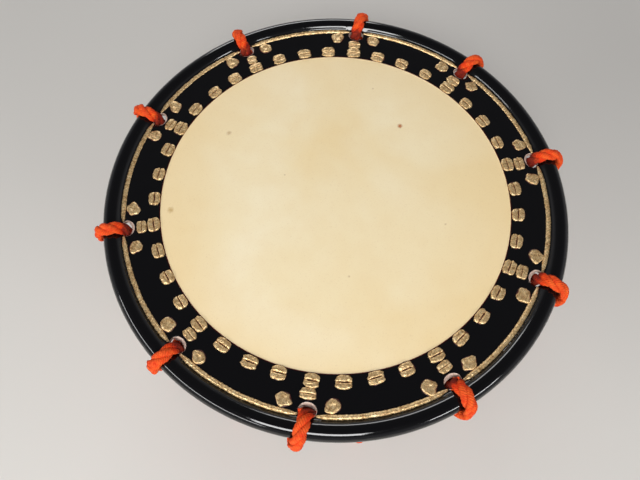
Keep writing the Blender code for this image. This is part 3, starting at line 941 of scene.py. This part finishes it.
def winding_route(start, heading):
    """The winding, from the end of the lacing to the tail tucked behind it."""
    first = math.degrees(math.atan2(start.y, start.x))
    points = [start, start + heading * 2 * ROPE_R]
    for radius, back, height in WINDING_START:
        points.append(polar(radius, first - back, height))
    count = TURNS * POINTS_PER_TURN + 1
    step = (360.0 * TURNS + WINDING_RUN_ON) / count
    turn_r = WAIST_R + 2 * ROPE_R + GAP
    for i in range(count + 1):
        height = TURN_PITCH * i * step / 360.0 - BAND_TOP
        points.append(polar(turn_r, first - WINDING_LEAD - i * step, height))
    last = first - WINDING_LEAD - count * step
    for radius, back, height in WINDING_TAIL:
        points.append(polar(radius, last - back, height))
    return [row_of(point, (point.x, point.y, 0.0)) for point in points]


def even_path(rows, spacing):
    """Smooth curve through the rows, read at an even spacing."""
    knots = np.array(rows)
    padded = np.vstack((2 * knots[0] - knots[1], knots, 2 * knots[-1] - knots[-2]))
    gaps = np.sqrt(np.maximum(np.linalg.norm(np.diff(padded[:, :3], axis=0), axis=1), 1e-6))
    times = np.concatenate(([0.0], np.cumsum(gaps)))
    fine = []
    for i in range(1, len(padded) - 2):
        t0, t1, t2, t3 = times[i - 1:i + 3]
        p0, p1, p2, p3 = padded[i - 1:i + 3]
        steps = max(4, int(np.linalg.norm((p2 - p1)[:3]) / 0.0008))
        for t in np.linspace(t1, t2, steps, endpoint=False):
            a1 = (t1 - t) / (t1 - t0) * p0 + (t - t0) / (t1 - t0) * p1
            a2 = (t2 - t) / (t2 - t1) * p1 + (t - t1) / (t2 - t1) * p2
            a3 = (t3 - t) / (t3 - t2) * p2 + (t - t2) / (t3 - t2) * p3
            b1 = (t2 - t) / (t2 - t0) * a1 + (t - t0) / (t2 - t0) * a2
            b2 = (t3 - t) / (t3 - t1) * a2 + (t - t1) / (t3 - t1) * a3
            fine.append((t2 - t) / (t2 - t1) * b1 + (t - t1) / (t2 - t1) * b2)
    fine.append(padded[-2])
    fine = np.array(fine)
    run = np.concatenate(([0.0], np.cumsum(np.linalg.norm(np.diff(fine[:, :3], axis=0), axis=1))))
    count = int(run[-1] / spacing) + 1
    stops = np.linspace(0.0, run[-1], count)
    return np.stack([np.interp(stops, run, fine[:, c]) for c in range(fine.shape[1])], axis=1), stops


def carried_frames(places):
    """Directions across the path that turn with it and never spin about it."""
    ahead = np.gradient(places, axis=0)
    ahead /= np.linalg.norm(ahead, axis=1)[:, None]
    side = np.cross(ahead[0], (0.0, 0.0, 1.0))
    side /= np.linalg.norm(side)
    sides = [side]
    for i in range(1, len(places)):
        side = sides[-1] - np.dot(sides[-1], ahead[i]) * ahead[i]
        sides.append(side / np.linalg.norm(side))
    sides = np.array(sides)
    return ahead, sides, np.cross(ahead, sides)


def strand_tube(shape, places, centre, ahead, rows, stops, layers, phase):
    """Wrap a flat grid round one strand of the rope and press its section where it is squeezed."""
    along = len(centre)
    wrapped = bmesh.ops.create_grid(shape, x_segments=along - 1, y_segments=AROUND, size=0.5, calc_uvs=True)
    own = np.gradient(centre, axis=0)
    own /= np.linalg.norm(own, axis=1)[:, None]
    outward = centre - places
    outward -= np.sum(outward * own, axis=1)[:, None] * own
    outward /= np.linalg.norm(outward, axis=1)[:, None]
    across = np.cross(own, outward)
    lean = rows[:, 3:6] - np.sum(rows[:, 3:6] * ahead, axis=1)[:, None] * ahead
    lean /= np.maximum(np.linalg.norm(lean, axis=1), 1e-9)[:, None]
    wide = np.cross(ahead, lean)
    press = rows[:, 6]
    hole_shade_layer, yarn_layer = layers
    for vert in wrapped["verts"]:
        i = round((vert.co.x + 0.5) * (along - 1))
        j = round((vert.co.y + 0.5) * AROUND)
        angle = 2 * math.pi * j / AROUND
        radius = YARN_R * (1 + STRAND_WAVER * math.sin(stops[i] * 900 + phase * 3 + 2 * angle))
        spot = centre[i] + radius * (math.cos(angle) * outward[i] + math.sin(angle) * across[i])
        offset = spot - places[i]
        offset -= (1 - FLAT_SHARE) * press[i] * np.dot(offset, lean[i]) * lean[i]
        offset += (WIDE_SHARE - 1) * press[i] * np.dot(offset, wide[i]) * wide[i]
        vert.co = Vector(places[i] + offset)
        # Painted shade of the rope near its holes, kept as a vertex attribute
        vert[hole_shade_layer] = float(rows[i, 7])
        for loop in vert.link_loops:
            loop[yarn_layer].uv = (stops[i] / YARN_PITCH + phase, loop[yarn_layer].uv.y)
    seam = [vert for vert in wrapped["verts"] if vert.is_boundary]
    bmesh.ops.remove_doubles(shape, verts=seam, dist=MERGE)


def make_rope(name, rows, dye, node):
    """Three strands laid round each other along the route."""
    rows, stops = even_path(rows, POINT_SPACING)
    rows[:, 2] += MIDDLE
    places = rows[:, :3]
    ahead, side, up = carried_frames(places)
    shape = bmesh.new()
    # Vertex attribute for the painted shade near the holes, and the yarn's UVs
    layers = shape.verts.layers.float.new("hole_shade"), shape.loops.layers.uv.new("yarn")
    for j in range(STRANDS):
        phase = 2 * math.pi * j / STRANDS
        turn = 2 * math.pi * stops / LAY + phase
        centre = places + STRAND_OFFSET * (np.cos(turn)[:, None] * side + np.sin(turn)[:, None] * up)
        strand_tube(shape, places, centre, ahead, rows, stops, layers, phase)
    bmesh.ops.holes_fill(shape, edges=[edge for edge in shape.edges if edge.is_boundary], sides=AROUND + 1)
    bmesh.ops.recalc_face_normals(shape, faces=shape.faces)
    dress(mesh_object(name, shape, [dye], 70.0), "rope", node)


# Light, floor and camera

def lamp(name, azimuth, elevation, distance, width, height, share, target):
    """Area lamp that gives the playing face this share of plain level."""
    light = bpy.data.lights.new(name, "AREA")
    light.shape = "RECTANGLE"
    light.size = width
    light.size_y = height
    light.energy = share * math.pi ** 2 * distance ** 2 / math.sin(math.radians(elevation))
    source = bpy.data.objects.new(name, light)
    flat = polar(math.cos(math.radians(elevation)), azimuth, math.sin(math.radians(elevation)))
    source.location = target + distance * flat
    source.rotation_mode = "QUATERNION"
    source.rotation_quaternion = (-flat).to_track_quat("-Z", "Y")
    bpy.context.scene.collection.objects.link(source)


# Lamps: azimuth, elevation, distance, width, height, and share of the plain level
LAMPS = {
    "near_softbox": (-95, 48, 1.5, 0.75, 0.4, 0.52),
    "left_window": (-140, 25, 1.25, 1.35, 0.10, 0.16),
    "right_window": (-44, 24, 1.25, 0.50, 0.08, 0.09),
    "far_softbox": (100, 24, 1.6, 0.9, 0.3, 0.10),
}
FLOOR_HALF_WIDTH = 6.0


def make_studio():
    """Soft lamps, a world that is bright low down and dark overhead, and a pale floor."""
    target = Vector((0, 0, MIDDLE + FACE_HEIGHT))
    for name, sizes in LAMPS.items():
        lamp(name, *sizes, target)
    world = bpy.data.worlds.new("studio")
    bpy.context.scene.world = world
    world.use_nodes = True
    tree = world.node_tree
    coords = put(tree, "ShaderNodeTexCoord")
    parts = put(tree, "ShaderNodeSeparateXYZ", sockets={0: coords.outputs["Generated"]})
    shade = ramp(tree, parts.outputs[2], (
        (0.00, (0.50, 0.50, 0.51)),
        (0.30, (0.34, 0.34, 0.36)),
        (0.60, (0.12, 0.12, 0.13)),
        (1.00, (0.08, 0.08, 0.09)),
    ))
    tree.links.new(shade, tree.nodes["Background"].inputs["Color"])

    shape = bmesh.new()
    bmesh.ops.create_grid(shape, x_segments=1, y_segments=1, size=FLOOR_HALF_WIDTH)
    pale = new_finish("pale_floor", 0.75, 0.0, (0.64, 0.62, 0.58))[0]
    mesh_object("floor", shape, [pale])


PHOTO_WIDTH = 640
SENSOR_WIDTH = 36.0
FOCAL_PIXELS = 469.0
CAMERA_TILT = 21.4
CAMERA_YAW = 2.49
CAMERA_ROLL = 0.25
CAMERA_FROM_FACE = Vector((-0.004535, -0.163926, 0.321413))


def make_camera():
    """Camera at the photograph's place, turned about the vertical, then tilted and rolled."""
    lens = bpy.data.cameras.new("camera")
    lens.sensor_width = SENSOR_WIDTH
    lens.lens = FOCAL_PIXELS / PHOTO_WIDTH * SENSOR_WIDTH
    camera = bpy.data.objects.new("camera", lens)
    turn = Matrix.Rotation(math.radians(CAMERA_YAW), 4, "Z")
    turn = turn @ Matrix.Rotation(math.radians(CAMERA_TILT), 4, "X")
    turn = turn @ Matrix.Rotation(math.radians(CAMERA_ROLL), 4, "Z")
    camera.matrix_world = Matrix.Translation(CAMERA_FROM_FACE + Vector((0, 0, MIDDLE + FACE_HEIGHT))) @ turn
    bpy.context.scene.collection.objects.link(camera)
    bpy.context.scene.camera = camera


bpy.context.scene.view_settings.view_transform = "Standard"
make_camera()
make_studio()
gold = gold_leaf()
ground = red_size()
hide_finishes = [raw_hide(), black_lacquer(), cut_hide()]
iron = forged_iron()
dye = vermilion_rope()
make_body(zelkova())
for side in ("upper", "lower"):
    make_skin(side, hide_finishes)
    make_stitches(side, [gold, ground])
    make_seams(side, gold)
    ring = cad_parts[side + "_iron_ring"]
    ring.data.materials.clear()
    ring.data.materials.append(iron)
lacing_rows = lacing_route()
make_rope("laced_rope", lacing_rows, dye, "lacing_rope")
end = Vector(lacing_rows[-1][:3])
heading = (end - Vector(lacing_rows[-2][:3])).normalized()
make_rope("waist_winding", winding_route(end + heading * GAP, heading), dye, "waist_rope")
